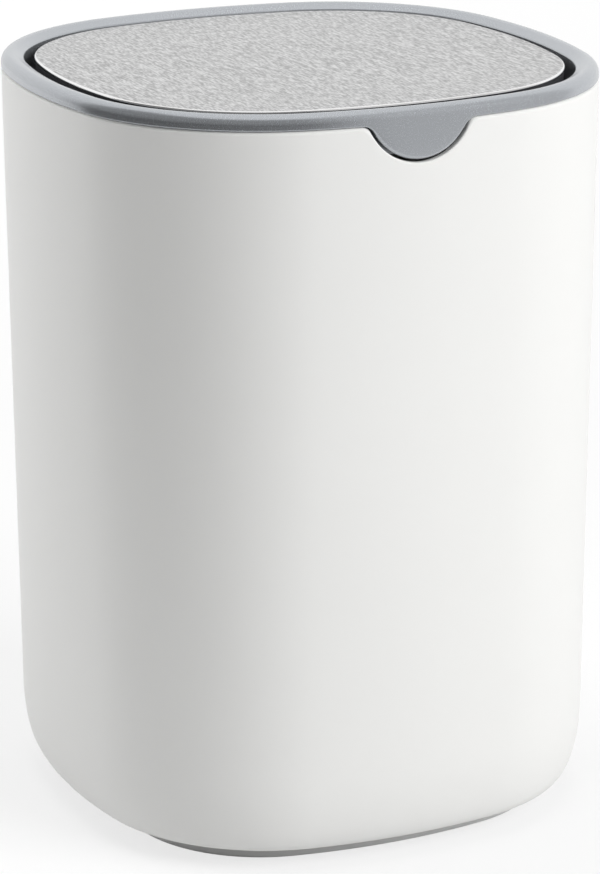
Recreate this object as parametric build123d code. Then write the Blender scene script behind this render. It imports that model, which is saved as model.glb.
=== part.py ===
from build123d import *
import os
from math import asin, atan2, cos, degrees, radians, sin, sqrt, tan

# Desktop trash bin with a lift-off frame and a flap that swings both ways.
# Millimetres, +Z up, origin on the floor at the middle of the bin, front towards -Y.
# An inset is a distance inward from the shell's outline, and the pivot runs along X.

# Plan of the bin: a rounded square of eight tangent arcs
half_width = 80.0
side_radius = 172.0
corner_radius = 59.0

# Bin shell
shell_height = 212.5
shell_wall = 2.2
floor_thickness = 2.4
draft_angle = 0.6
bottom_curve_width = 6.7
bottom_curve_height = 22.3
shell_edge_round = 0.8

# Foot ring
foot_height = 5.3
foot_inset = 15.8
foot_corner_tightening = 3.2
foot_ring_width = 6.0
foot_tongue_width = 2.4
foot_tongue_height = 1.2
foot_edge_round = 0.8

# Lid frame
frame_height = 4.1
frame_wall = 2.0
frame_skin = 2.4
crown_round = 2.8
crown_fall = 27.0
opening_inset = 6.6
opening_round = 0.7
skirt_thickness = 1.8
nest_clearance = 0.3
rib_thickness = 1.6
rib_shortfall = 2.0
rib_count = 8

# Lift tab on the frame, and the notch for it in the shell
tab_radius = 15.4
tab_centre_above_seam = 5.25
tab_gap = 0.8
tab_shoulder_round = 3.8

# Steel plate and its bond to the tray
flap_gap = 2.9
flap_tip = 0.33
plate_drop = 1.05
plate_thickness = 0.6
plate_edge_round = 1.0
plate_edge_depth = 1.2
plate_fit_clearance = 0.1
bond_thickness = 0.3
bond_margin = 4.0

# Flap tray
tray_skin = 1.6
tray_wall = 1.6
tray_depth = 13.0
tray_setback = 0.3
tray_shoulder_gap = 0.2
tray_rib_thickness = 1.4
tray_rib_depth = 5.0
tray_rib_spacing = 30.0
tray_rib_count = 4

# Pivot pins and bushes
pivot_depth = 9.0
pin_radius = 2.0
pin_end_gap = 0.5
pin_collar_radius = 3.0
pin_collar_length = 1.6
pin_collar_place = 1.0
running_clearance = 0.05
seat_clearance = 0.03
bush_wall = 1.1
bush_flange_radius = 3.8
thrust_gap = 0.4

# Bosses in the frame and the keepers under them
boss_half_length = 8.0
boss_cover = 1.2
keeper_thickness = 2.4
tongue_clearance = 0.1
cradle_height = 1.2

# Stops of the swing: lugs on the tray meet a finger on the keeper
swing_angle = 72.0
stop_slack = 1.0
stop_lug_radius = 2.0
stop_lug_reach = 9.5
stop_lug_tip_gap = 0.8
stop_finger_half_width = 2.0
stop_finger_gap = 0.35
stop_finger_margin = 0.5

# Saddles under the tray and the clamps that close them
saddle_length = 9.0
saddle_half_width = 7.0
clamp_thickness = 4.0
clamp_gap = 0.2

# Counterweights, their pockets and covers
arm_thickness = 2.4
arm_half_width = 12.0
pocket_half_length = 6.8
pocket_half_width = 15.0
pocket_corner_round = 2.4
pocket_least_round = 0.2
pocket_wall = 1.6
pocket_top_drop = 17.0
pocket_height = 19.0
weight_clearance = 0.2
cover_thickness = 2.0
cover_lip_height = 1.4
cover_lip_width = 1.2

# Pan head screws
screw_radius = 0.9
screw_length = 7.0
screw_clearance = 0.05
screw_end_gap = 0.4
screw_head_radius = 1.7
screw_head_height = 1.2
screw_recess_width = 0.5
screw_recess_length = 2.0
screw_recess_depth = 0.7
keeper_screw_spacing = 11.0
clamp_screw_spacing = 9.4

# Heights that follow
floor_top = foot_height + floor_thickness
frame_top = shell_height + frame_height
frame_skin_underside = frame_top - frame_skin
crown_height = frame_top - crown_round
pivot_height = frame_top - pivot_depth
plate_top = frame_top - plate_drop
plate_underside = plate_top - plate_thickness
tray_top = plate_underside - bond_thickness
tray_skin_underside = tray_top - tray_skin
tray_shoulder = plate_top - plate_edge_depth - tray_shoulder_gap
tray_bottom = plate_top - tray_depth
pocket_top = pivot_height - pocket_top_drop
pocket_bottom = pocket_top - pocket_height
clamp_bottom = pivot_height - clamp_thickness

# Radii of the pivot that follow
pin_seat_radius = pin_radius + seat_clearance
bush_bore_radius = pin_radius + running_clearance
bush_radius = bush_bore_radius + bush_wall
bush_slot_radius = bush_radius + seat_clearance
screw_hole_radius = screw_radius + screw_clearance
boss_bottom = pivot_height - bush_slot_radius - boss_cover
keeper_bottom = boss_bottom - keeper_thickness

# Insets and X places that follow
shell_outline = (half_width, side_radius, corner_radius)
foot_outline = (
    half_width - foot_inset,
    side_radius - foot_inset,
    corner_radius - foot_inset - foot_corner_tightening,
)
nest_inset = shell_wall + nest_clearance
boss_inset = nest_inset + nest_clearance
plate_inset = opening_inset + flap_gap
tray_inset = plate_inset + tray_setback
tray_wall_inner = tray_inset + tray_wall
skirt_face = half_width - opening_inset
boss_outer_face = half_width - boss_inset
boss_middle = (skirt_face + boss_outer_face) / 2
tray_face = half_width - tray_inset
saddle_outer = tray_face - tray_wall
saddle_inner = saddle_outer - saddle_length
saddle_middle = (saddle_outer + saddle_inner) / 2
arm_inner = saddle_inner - arm_thickness
pocket_middle = (saddle_inner + arm_inner) / 2
pin_root = saddle_inner + pin_end_gap
pin_tip = boss_outer_face - pin_end_gap
collar_inner = saddle_inner + pin_collar_place
collar_outer = collar_inner + pin_collar_length


def outline_arcs(half, side, corner):
    """The eight arcs of a rounded square: centre x, centre y, radius, start angle, sweep in degrees."""
    side_centre = half - side
    gap = side - corner
    corner_centre = (2 * side_centre + sqrt(8 * gap**2 - 4 * side_centre**2)) / 4
    junction = degrees(atan2(corner_centre, corner_centre - side_centre))
    arcs = []
    for quarter in range(4):
        turn = 90.0 * quarter
        cosine = cos(radians(turn))
        sine = sin(radians(turn))
        arcs.append((side_centre * cosine, side_centre * sine, side, turn - junction, 2 * junction))
        corner_x = corner_centre * (cosine - sine)
        corner_y = corner_centre * (sine + cosine)
        arcs.append((corner_x, corner_y, corner, turn + junction, 90.0 - 2 * junction))
    return arcs


def plan_face(outline, inset):
    """The flat face inside an outline that is drawn in by inset."""
    edges = []
    for centre_x, centre_y, radius, start, sweep in outline_arcs(*outline):
        edges.append(CenterArc((centre_x, centre_y), radius - inset, start, sweep))
    return make_face(Wire(edges))


def slab(outline, inset, low, high):
    """A flat slab inside an outline, between two heights."""
    return extrude(Pos(0, 0, low) * plan_face(outline, inset), high - low)


def carried(outline, section):
    """A section, drawn outward from the outline in x and upward in y, carried once around."""
    solid = None
    for centre_x, centre_y, radius, start, sweep in outline_arcs(*outline):
        angle = radians(start)
        across = Plane(
            origin=(centre_x, centre_y, 0),
            x_dir=(cos(angle), sin(angle), 0),
            z_dir=(sin(angle), -cos(angle), 0),
        )
        axis = Axis((centre_x, centre_y, 0), (0, 0, 1))
        sector = revolve(across * Pos(radius, 0) * section, axis, sweep)
        solid = sector if solid is None else solid + sector
    return solid


def band(outline, outer, inner, low, high):
    """A ring of rectangular section between two insets and two heights."""
    section = Pos(-(outer + inner) / 2, (low + high) / 2) * Rectangle(inner - outer, high - low)
    return carried(outline, section)


def block(x_low, x_high, y_half, z_low, z_high):
    """A box between two x values and two heights, as wide to the front as to the back."""
    centre = Pos((x_low + x_high) / 2, 0, (z_low + z_high) / 2)
    return centre * Box(x_high - x_low, 2 * y_half, z_high - z_low)


def rod(radius, x_low, x_high, y=0.0, z=pivot_height):
    """A round bar along X, by default on the pivot's axis."""
    return Pos((x_low + x_high) / 2, y, z) * Rot(0, 90, 0) * Cylinder(radius, x_high - x_low)


def post(radius, x, y, z_low, z_high):
    """A round bar along Z."""
    return Pos(x, y, (z_low + z_high) / 2) * Cylinder(radius, z_high - z_low)


def other_side(shape):
    """The same piece on the left side of the bin."""
    return mirror(shape, Plane.YZ)


def both_sides(shape):
    """A piece together with its mirror image on the left side."""
    return shape + other_side(shape)


def taper(height):
    """How far the shell's wall has drawn in at a height."""
    return (shell_height - height) * tan(radians(draft_angle))


def screw_places(x, spacing):
    """The middles of four screws: two at each pivot, spacing apart."""
    places = []
    for side in (-1, 1):
        for end in (-1, 1):
            places.append((side * x, end * spacing / 2))
    return places


def screw_holes(x, spacing, seat):
    """Holes for four screws whose heads sit at a height."""
    holes = None
    for place_x, place_y in screw_places(x, spacing):
        top = seat + screw_length + screw_end_gap
        hole = post(screw_hole_radius, place_x, place_y, seat - screw_end_gap, top)
        holes = hole if holes is None else holes + hole
    return holes


def pan_screws(x, spacing, seat):
    """Four upward pan head screws with cross recesses, heads under a height."""
    screws = []
    for place_x, place_y in screw_places(x, spacing):
        screw = post(screw_radius, place_x, place_y, seat, seat + screw_length)
        head_bottom = seat - screw_head_height
        head = post(screw_head_radius, place_x, place_y, head_bottom, seat)
        head = fillet(head.edges().group_by(Axis.Z)[0], screw_head_height / 2)
        for turn in (0, 90):
            cross = Box(screw_recess_length, screw_recess_width, 2 * screw_recess_depth)
            head -= Pos(place_x, place_y, head_bottom) * Rot(0, 0, turn) * cross
        screws.append(head + screw)
    return Part() + screws


def front_prism(sketch):
    """A sketch in x and height, pushed from the middle plane out through the front wall."""
    return extrude(Plane.XZ * sketch, 2 * half_width)


def tipped(shape):
    """A piece of the flap in its rest pose: turned about the pivot, with the front edge a little high."""
    return Pos(0, 0, pivot_height) * Rot(-flap_tip, 0, 0) * Pos(0, 0, -pivot_height) * shape


def tab_sketch(line, radius, shoulder):
    """Half-round tab below a line, under a strip above it, with rounded shoulders."""
    centre = Pos(0, shell_height + tab_centre_above_seam)
    strip_half = radius + 3 * tab_shoulder_round
    strip = Pos(0, (line + crown_height) / 2) * Rectangle(2 * strip_half, crown_height - line)
    below = Pos(0, line - radius) * Rectangle(2 * strip_half, 2 * radius)
    shape = strip + (centre * Circle(radius) & below)
    reach = sqrt(radius**2 - (shell_height + tab_centre_above_seam - line) ** 2)
    shoulders = []
    for vertex in shape.vertices():
        if abs(vertex.Y - line) < 0.01 and abs(abs(vertex.X) - reach) < 0.01:
            shoulders.append(vertex)
    return fillet(shoulders, shoulder)


def pocket_block(inset, low, high):
    """A block with rounded upright edges inside the outline of the right weight pocket."""
    length = 2 * (pocket_half_length - inset)
    width = 2 * (pocket_half_width - inset)
    corner = max(pocket_corner_round - inset, pocket_least_round)
    return extrude(Pos(pocket_middle, 0, low) * RectangleRounded(length, width, corner), high - low)


def bin_shell():
    """White moulded bin: drafted wall, large bottom curve, flat floor, notch and foot groove."""
    curve_top = foot_height + bottom_curve_height
    wall_at_curve = -taper(curve_top)
    curve_centre = wall_at_curve - bottom_curve_width
    floor_edge = curve_centre - shell_wall
    section = make_face(
        Wire(
            [
                CenterArc((-shell_edge_round, shell_height - shell_edge_round), shell_edge_round, 0, 90),
                Line((0, shell_height - shell_edge_round), (wall_at_curve, curve_top)),
                EllipticalCenterArc(
                    (curve_centre, curve_top), bottom_curve_width, bottom_curve_height, 0, arc_size=-90
                ),
                Line((curve_centre, foot_height), (floor_edge, foot_height)),
                Line((floor_edge, foot_height), (floor_edge, floor_top)),
                Line((floor_edge, floor_top), (curve_centre, floor_top)),
                EllipticalCenterArc(
                    (curve_centre, curve_top),
                    bottom_curve_width - shell_wall,
                    bottom_curve_height - floor_thickness,
                    0,
                    arc_size=-90,
                ),
                Line((wall_at_curve - shell_wall, curve_top), (-shell_wall, shell_height)),
                Line((-shell_wall, shell_height), (-shell_edge_round, shell_height)),
            ]
        )
    )
    shell = carried(shell_outline, section)
    shell += slab(shell_outline, -floor_edge, foot_height, floor_top)
    groove_outer = (foot_ring_width - foot_tongue_width) / 2 - seat_clearance
    groove_inner = (foot_ring_width + foot_tongue_width) / 2 + seat_clearance
    groove_top = foot_height + foot_tongue_height + seat_clearance
    shell -= band(foot_outline, groove_outer, groove_inner, foot_height / 2, groove_top)
    notch_line = shell_height + seat_clearance
    notch = tab_sketch(notch_line, tab_radius + tab_gap, tab_shoulder_round - tab_gap)
    return shell - front_prism(notch)


def foot_ring():
    """Grey ring under the bin, with a tongue that is pressed into the shell's groove."""
    ring = band(foot_outline, 0, foot_ring_width, 0, foot_height)
    ring = fillet(ring.edges().filter_by_position(Axis.Z, 0, 0), foot_edge_round)
    tongue_outer = (foot_ring_width - foot_tongue_width) / 2
    tongue_inner = (foot_ring_width + foot_tongue_width) / 2
    tongue_top = foot_height + foot_tongue_height
    return ring + band(foot_outline, tongue_outer, tongue_inner, foot_height / 2, tongue_top)


def frame_ring():
    """The frame's ring: a crown near its outer edge, a top that falls inward from it, and the skirt."""
    inner_edge = -opening_inset
    skirt_back = inner_edge + skirt_thickness
    fall = radians(crown_fall)
    crown_x = -crown_round
    round_x = inner_edge + opening_round
    fall_length = (crown_x - round_x - (crown_round - opening_round) * sin(fall)) / cos(fall)
    round_z = crown_height + (crown_round - opening_round) * cos(fall) - fall_length * sin(fall)
    fall_start = (crown_x - crown_round * sin(fall), crown_height + crown_round * cos(fall))
    fall_end = (round_x - opening_round * sin(fall), round_z + opening_round * cos(fall))
    section = make_face(
        Wire(
            [
                Line((0, shell_height), (0, crown_height)),
                CenterArc((crown_x, crown_height), crown_round, 0, 90 + crown_fall),
                Line(fall_start, fall_end),
                CenterArc((round_x, round_z), opening_round, 90 + crown_fall, 90 - crown_fall),
                Line((inner_edge, round_z), (inner_edge, boss_bottom)),
                Line((inner_edge, boss_bottom), (skirt_back, boss_bottom)),
                Line((skirt_back, boss_bottom), (skirt_back, frame_skin_underside)),
                Line((skirt_back, frame_skin_underside), (-frame_wall, frame_skin_underside)),
                Line((-frame_wall, frame_skin_underside), (-frame_wall, shell_height)),
                Line((-frame_wall, shell_height), (0, shell_height)),
            ]
        )
    )
    return carried(shell_outline, section)


def frame_ribs():
    """Upright ribs behind the skirt that centre the frame inside the shell."""
    root_inset = opening_inset - skirt_thickness / 2
    ring = band(shell_outline, nest_inset, root_inset, boss_bottom + rib_shortfall, frame_skin_underside)
    spokes = None
    for index in range(rib_count):
        if index % (rib_count // 2) == 0:
            continue
        angle = 180.0 * index / rib_count
        spoke = Pos(0, 0, frame_top) * Rot(0, 0, angle) * Box(4 * half_width, rib_thickness, half_width)
        spokes = spoke if spokes is None else spokes + spoke
    return ring & spokes


def lid_frame():
    """Grey frame: crowned ring, skirt, ribs, lift tab and the two pivot bosses with their slots."""
    frame = frame_ring() + frame_ribs()
    root_inset = opening_inset - skirt_thickness / 2
    boss_ring = band(shell_outline, boss_inset, root_inset, boss_bottom, frame_skin_underside)
    frame += boss_ring & block(-half_width, half_width, boss_half_length, boss_bottom, frame_top)
    tab_bottom = shell_height + tab_centre_above_seam - tab_radius
    tab_ring = band(shell_outline, 0, frame_wall, tab_bottom - tab_gap, crown_height)
    frame += tab_ring & front_prism(tab_sketch(shell_height, tab_radius, tab_shoulder_round))
    slot_start = skirt_face - skirt_thickness
    slot_end = boss_outer_face + nest_clearance
    slot = rod(bush_slot_radius, slot_start, slot_end)
    slot += block(slot_start, slot_end, bush_slot_radius, keeper_bottom, pivot_height)
    flange_spot = rod(bush_flange_radius + nest_clearance, slot_start, skirt_face)
    frame -= both_sides(slot + flange_spot)
    return frame - screw_holes(boss_middle, keeper_screw_spacing, keeper_bottom)


def bush():
    """Plastic bush in the right boss, with an inward thrust flange that centres the flap."""
    body = rod(bush_radius, skirt_face, boss_outer_face - seat_clearance)
    body += rod(bush_flange_radius, tray_face + thrust_gap, skirt_face)
    return body - rod(bush_bore_radius, tray_face, boss_outer_face)


def bush_keeper():
    """Keeper under the right boss: foot, tongue that cradles the bush, and the stop finger."""
    ring = band(shell_outline, boss_inset, opening_inset, keeper_bottom, boss_bottom)
    keeper = ring & block(0, half_width, boss_half_length, keeper_bottom, boss_bottom)
    tongue_half_width = bush_slot_radius - tongue_clearance
    tongue_top = pivot_height - cradle_height
    keeper_middle = (keeper_bottom + boss_bottom) / 2
    tongue_outer = boss_outer_face - tongue_clearance
    tongue = block(skirt_face, tongue_outer, tongue_half_width, keeper_middle, tongue_top)
    keeper += tongue - rod(bush_slot_radius, 0, half_width)
    finger_bottom = pivot_height - stop_lug_reach - stop_lug_radius - stop_finger_margin
    finger_start = tray_face + stop_finger_gap
    keeper += block(finger_start, boss_middle, stop_finger_half_width, finger_bottom, boss_bottom)
    return keeper - screw_holes(boss_middle, keeper_screw_spacing, keeper_bottom)


def steel_plate():
    """Brushed sheet on top of the flap, with a rounded edge turned down all around."""
    outer = -plate_inset
    bend = outer - plate_edge_round
    bend_low = plate_top - plate_edge_round
    edge_bottom = plate_top - plate_edge_depth
    section = make_face(
        Wire(
            [
                Line((outer, edge_bottom), (outer, bend_low)),
                CenterArc((bend, bend_low), plate_edge_round, 0, 90),
                Line((bend, plate_top), (bend, plate_underside)),
                CenterArc((bend, bend_low), plate_edge_round - plate_thickness, 0, 90),
                Line((outer - plate_thickness, bend_low), (outer - plate_thickness, edge_bottom)),
                Line((outer - plate_thickness, edge_bottom), (outer, edge_bottom)),
            ]
        )
    )
    return carried(shell_outline, section) + slab(shell_outline, -bend, plate_underside, plate_top)


def plate_bond():
    """Adhesive sheet between the plate and the tray."""
    return slab(shell_outline, plate_inset + bond_margin, tray_top, plate_underside)


def tray_dish():
    """The tray's skin and its wall all around, with a rim that fits inside the plate's edge."""
    rim = -(plate_inset + plate_thickness + plate_fit_clearance)
    rim_round = plate_edge_round - plate_thickness
    skin_edge = rim - rim_round - tray_wall
    section = make_face(
        Wire(
            [
                Line((rim, tray_shoulder), (rim, tray_top - rim_round)),
                CenterArc((rim - rim_round, tray_top - rim_round), rim_round, 0, 90),
                Line((rim - rim_round, tray_top), (skin_edge, tray_top)),
                Line((skin_edge, tray_top), (skin_edge, tray_skin_underside)),
                Line((skin_edge, tray_skin_underside), (-tray_wall_inner, tray_skin_underside)),
                Line((-tray_wall_inner, tray_skin_underside), (-tray_wall_inner, tray_bottom)),
                Line((-tray_wall_inner, tray_bottom), (-tray_inset, tray_bottom)),
                Line((-tray_inset, tray_bottom), (-tray_inset, tray_shoulder)),
                Line((-tray_inset, tray_shoulder), (rim, tray_shoulder)),
            ]
        )
    )
    return carried(shell_outline, section) + slab(shell_outline, -skin_edge, tray_skin_underside, tray_top)


def tray_ribs():
    """A grid of ribs under the skin, from wall to wall."""
    rib_bottom = tray_skin_underside - tray_rib_depth
    height = tray_top - rib_bottom - tray_skin / 2
    ribs = None
    for index in range(tray_rib_count):
        place = (index - (tray_rib_count - 1) / 2) * tray_rib_spacing
        along = Pos(0, place, rib_bottom + height / 2) * Box(2 * half_width, tray_rib_thickness, height)
        across = Pos(place, 0, rib_bottom + height / 2) * Box(tray_rib_thickness, 2 * half_width, height)
        ribs = along + across if ribs is None else ribs + along + across
    return ribs & slab(shell_outline, tray_inset + tray_wall / 2, tray_bottom, tray_top)


def stop_lugs():
    """Two round lugs on the right side of the tray, one for each way that the flap swings."""
    contact_angle = asin((stop_finger_half_width + stop_lug_radius) / stop_lug_reach)
    angle = radians(swing_angle + stop_slack) + contact_angle
    lugs = None
    for end in (-1, 1):
        y = end * stop_lug_reach * sin(angle)
        z = pivot_height - stop_lug_reach * cos(angle)
        lug = rod(stop_lug_radius, saddle_outer, skirt_face - stop_lug_tip_gap, y, z)
        lugs = lug if lugs is None else lugs + lug
    return lugs


def flap_tray():
    """Dark moulded body of the flap: dish, ribs, saddles, arms, weight pockets and stop lugs."""
    skin_middle = (tray_top + tray_skin_underside) / 2
    wall_middle = tray_face - tray_wall / 2
    fittings = block(saddle_inner, wall_middle, saddle_half_width, pivot_height, skin_middle)
    fittings += block(arm_inner, saddle_inner, arm_half_width, pocket_top - pocket_wall / 2, skin_middle)
    fittings += pocket_block(0, pocket_bottom, pocket_top)
    fittings -= pocket_block(pocket_wall, pocket_bottom, pocket_top - pocket_wall)
    fittings += stop_lugs()
    tray = tray_dish() + tray_ribs() + both_sides(fittings)
    pin_way = rod(pin_seat_radius, saddle_inner, skirt_face)
    pin_way += block(saddle_outer - clamp_gap, skirt_face, pin_seat_radius, tray_bottom, pivot_height)
    pin_way += rod(
        pin_collar_radius + seat_clearance, collar_inner - seat_clearance, collar_outer + seat_clearance
    )
    tray -= both_sides(pin_way)
    return tray - screw_holes(saddle_middle, clamp_screw_spacing, clamp_bottom)


def pivot_pin():
    """Steel pin of the right pivot, with a collar that keeps it from sliding out."""
    return rod(pin_radius, pin_root, pin_tip) + rod(pin_collar_radius, collar_inner, collar_outer)


def pin_clamp():
    """Clamp that holds the right pin up into the saddle."""
    clamp = block(
        saddle_inner + clamp_gap, saddle_outer - clamp_gap, saddle_half_width, clamp_bottom, pivot_height
    )
    clamp -= rod(pin_seat_radius, saddle_inner, skirt_face)
    clamp -= rod(
        pin_collar_radius + seat_clearance, collar_inner - seat_clearance, collar_outer + seat_clearance
    )
    return clamp - screw_holes(saddle_middle, clamp_screw_spacing, clamp_bottom)


def counterweight():
    """Steel block in the right pocket."""
    low = pocket_bottom + cover_lip_height + weight_clearance
    high = pocket_top - pocket_wall - weight_clearance
    return pocket_block(pocket_wall + weight_clearance, low, high)


def weight_cover():
    """Plug that closes the right pocket, with a lip that is pressed inside its wall."""
    lip_inset = pocket_wall + seat_clearance
    lip = pocket_block(lip_inset, pocket_bottom, pocket_bottom + cover_lip_height)
    lip -= pocket_block(lip_inset + cover_lip_width, pocket_bottom, pocket_bottom + cover_lip_height)
    return pocket_block(0, pocket_bottom - cover_thickness, pocket_bottom) + lip


pieces = {
    "bin_shell": bin_shell(),
    "foot_ring": foot_ring(),
    "lid_frame": lid_frame(),
    "steel_plate": tipped(steel_plate()),
    "plate_bond": tipped(plate_bond()),
    "flap_tray": tipped(flap_tray()),
    "keeper_screws": pan_screws(boss_middle, keeper_screw_spacing, keeper_bottom),
    "pin_clamp_screws": tipped(pan_screws(saddle_middle, clamp_screw_spacing, clamp_bottom)),
}
right_hand_pieces = {
    "bush": bush(),
    "bush_keeper": bush_keeper(),
    "pivot_pin": tipped(pivot_pin()),
    "pin_clamp": tipped(pin_clamp()),
    "counterweight": tipped(counterweight()),
    "weight_cover": tipped(weight_cover()),
}
for name, piece in right_hand_pieces.items():
    pieces[f"right_{name}"] = piece
    pieces[f"left_{name}"] = other_side(piece)

os.makedirs("parts", exist_ok=True)
for name, piece in pieces.items():
    export_step(piece, f"parts/{name}.step")
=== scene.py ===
import math

import bpy
import numpy as np
from bpy.props import FloatProperty, FloatVectorProperty, PointerProperty
from mathutils import Matrix, Vector


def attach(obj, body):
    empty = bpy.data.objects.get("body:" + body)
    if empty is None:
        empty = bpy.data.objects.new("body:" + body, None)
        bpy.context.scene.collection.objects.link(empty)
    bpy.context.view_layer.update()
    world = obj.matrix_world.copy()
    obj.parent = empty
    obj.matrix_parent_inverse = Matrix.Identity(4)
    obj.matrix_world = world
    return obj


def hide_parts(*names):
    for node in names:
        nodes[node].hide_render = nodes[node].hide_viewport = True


# Looks of a desktop trash bin: white moulded shell, grey lid frame and a brushed steel swing flap.
# Metres, +Z up, origin on the floor at the middle of the bin, front towards -Y.

bl_info = {
    "name": "Desktop Trash Bin",
    "version": (1, 0, 0),
    "blender": (4, 5, 0),
    "location": "View3D > Sidebar > Trash Bin",
    "description": "Dresses a desktop trash bin: surfaces, finishes and a small studio",
    "category": "Add Mesh",
}

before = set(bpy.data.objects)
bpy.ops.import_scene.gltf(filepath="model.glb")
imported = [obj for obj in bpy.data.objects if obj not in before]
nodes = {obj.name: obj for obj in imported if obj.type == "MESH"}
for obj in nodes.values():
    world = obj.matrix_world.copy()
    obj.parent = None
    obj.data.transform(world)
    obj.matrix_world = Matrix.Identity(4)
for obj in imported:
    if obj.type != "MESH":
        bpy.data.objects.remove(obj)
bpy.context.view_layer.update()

MM = 0.001

# Sizes that more than one piece shares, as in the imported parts

PIVOT_HEIGHT = 207.6 * MM
SKIRT_FOOT = 203.22 * MM
TAB_CENTRE_RISE = 5.25 * MM
TAB_SHOULDER = 3.8 * MM


class TrashBinSizes(bpy.types.PropertyGroup):
    """Sizes of the pieces that are worked out here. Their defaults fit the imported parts."""

    half_width: FloatProperty(
        name="Half width",
        description="From the middle of the bin to the middle of a side",
        unit="LENGTH",
        default=80 * MM,
    )
    side_radius: FloatProperty(
        name="Side radius",
        description="Radius of the bowed sides in plan",
        unit="LENGTH",
        default=172 * MM,
    )
    corner_radius: FloatProperty(
        name="Corner radius",
        description="Radius of the corners in plan",
        unit="LENGTH",
        default=59 * MM,
    )
    seam_height: FloatProperty(
        name="Seam height",
        description="Height of the seam between the shell and the lid frame",
        unit="LENGTH",
        default=212.5 * MM,
    )
    rim_round: FloatProperty(
        name="Rim rounding",
        description="Rounding of the shell's upper edge, which grows sharper inside the notch",
        unit="LENGTH",
        default=1.3 * MM,
    )
    tab_radius: FloatProperty(
        name="Tab radius",
        description="Radius of the half-round lift tab",
        unit="LENGTH",
        default=15.4 * MM,
    )
    tab_gap: FloatProperty(
        name="Tab gap",
        description="Gap between the lift tab and its notch in the shell",
        unit="LENGTH",
        default=0.8 * MM,
    )
    tab_round: FloatProperty(
        name="Tab rounding",
        description="Rounding of the tab's front edge",
        unit="LENGTH",
        default=1.0 * MM,
    )
    crown_round: FloatProperty(
        name="Crown radius",
        description="Radius of the lid frame's outer upper edge",
        unit="LENGTH",
        default=2.8 * MM,
    )
    crown_fall: FloatProperty(
        name="Crown fall",
        description="How steeply the frame's top falls inward",
        unit="ROTATION",
        default=math.radians(27),
    )
    plate_round: FloatProperty(
        name="Plate edge radius",
        description="Radius of the steel plate's rolled edge",
        unit="LENGTH",
        default=0.65 * MM,
    )
    plate_tip: FloatProperty(
        name="Plate tip",
        description="How far the flap's front edge stands up at rest",
        unit="ROTATION",
        default=math.radians(0.33),
    )


class TrashBinFinish(bpy.types.PropertyGroup):
    """Colours of the bin's finishes."""

    shell_colour: FloatVectorProperty(
        name="Shell",
        description="White of the moulded shell",
        subtype="COLOR",
        size=3,
        min=0.0,
        max=1.0,
        default=(0.83, 0.83, 0.815),
    )
    frame_colour: FloatVectorProperty(
        name="Lid frame",
        description="Grey of the lid frame",
        subtype="COLOR",
        size=3,
        min=0.0,
        max=1.0,
        default=(0.45, 0.47, 0.495),
    )
    foot_colour: FloatVectorProperty(
        name="Foot",
        description="Grey of the rubber foot ring",
        subtype="COLOR",
        size=3,
        min=0.0,
        max=1.0,
        default=(0.74, 0.74, 0.735),
    )
    steel_colour: FloatVectorProperty(
        name="Plate steel",
        description="Colour of the brushed plate",
        subtype="COLOR",
        size=3,
        min=0.0,
        max=1.0,
        default=(0.56, 0.56, 0.56),
    )
    tray_colour: FloatVectorProperty(
        name="Flap tray",
        description="Dark plastic under the plate",
        subtype="COLOR",
        size=3,
        min=0.0,
        max=1.0,
        default=(0.05, 0.05, 0.055),
    )


class TrashBinStage(bpy.types.PropertyGroup):
    """Lamps, room light and camera."""

    key_power: FloatProperty(
        name="Right lamp",
        description="Power of the large soft lamp at the front right",
        unit="POWER",
        default=63.0,
        min=0.0,
    )
    top_power: FloatProperty(
        name="Top lamp",
        description="Power of the lamp above the bin",
        unit="POWER",
        default=15.0,
        min=0.0,
    )
    back_power: FloatProperty(
        name="Back lamp",
        description="Power of the lamp high behind the bin",
        unit="POWER",
        default=11.0,
        min=0.0,
    )
    side_power: FloatProperty(
        name="Left lamp",
        description="Power of the weaker lamp behind the left side",
        unit="POWER",
        default=20.0,
        min=0.0,
    )
    room_light: FloatProperty(
        name="Room light",
        description="Level of the even light from all around",
        default=0.06,
        min=0.0,
    )
    camera_place: FloatVectorProperty(
        name="Camera",
        description="Where the camera stands",
        subtype="TRANSLATION",
        unit="LENGTH",
        size=3,
        default=(-0.4436, -0.9769, 0.4278),
    )
    camera_heading: FloatProperty(
        name="Camera heading",
        description="Turn of the view from straight back, towards the right",
        unit="ROTATION",
        default=math.radians(24.443),
    )
    camera_pitch: FloatProperty(
        name="Camera pitch",
        description="How far the camera looks down",
        unit="ROTATION",
        default=math.radians(16.83),
    )
    camera_roll: FloatProperty(
        name="Camera roll",
        description="Turn of the camera about its view",
        unit="ROTATION",
        default=-0.0034,
    )
    camera_lens: FloatProperty(
        name="Lens",
        description="Focal length of the camera",
        unit="CAMERA",
        default=158.24,
    )


# Shapes

def plan_arcs(sizes):
    """How the plan's arcs lie: how far out the side and corner centres are, and half a side's angle.

    The plan is eight tangent arcs. A side arc of the side radius is centred on the middle line, and a
    corner arc of the corner radius on the diagonal. The two centres lie apart by the difference of the
    radii, so the arcs meet where their radii lie on one line.
    """
    side_centre = sizes.half_width - sizes.side_radius
    gap = sizes.side_radius - sizes.corner_radius
    corner_centre = (2 * side_centre + math.sqrt(8 * gap**2 - 4 * side_centre**2)) / 4
    half_side = math.atan2(corner_centre, corner_centre - side_centre)
    return side_centre, corner_centre, half_side


def plan_length(sizes):
    """Length once around the plan: four side arcs and four corner arcs."""
    half_side = plan_arcs(sizes)[2]
    corner_turn = math.pi / 2 - 2 * half_side
    return 8 * half_side * sizes.side_radius + 4 * corner_turn * sizes.corner_radius


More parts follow.
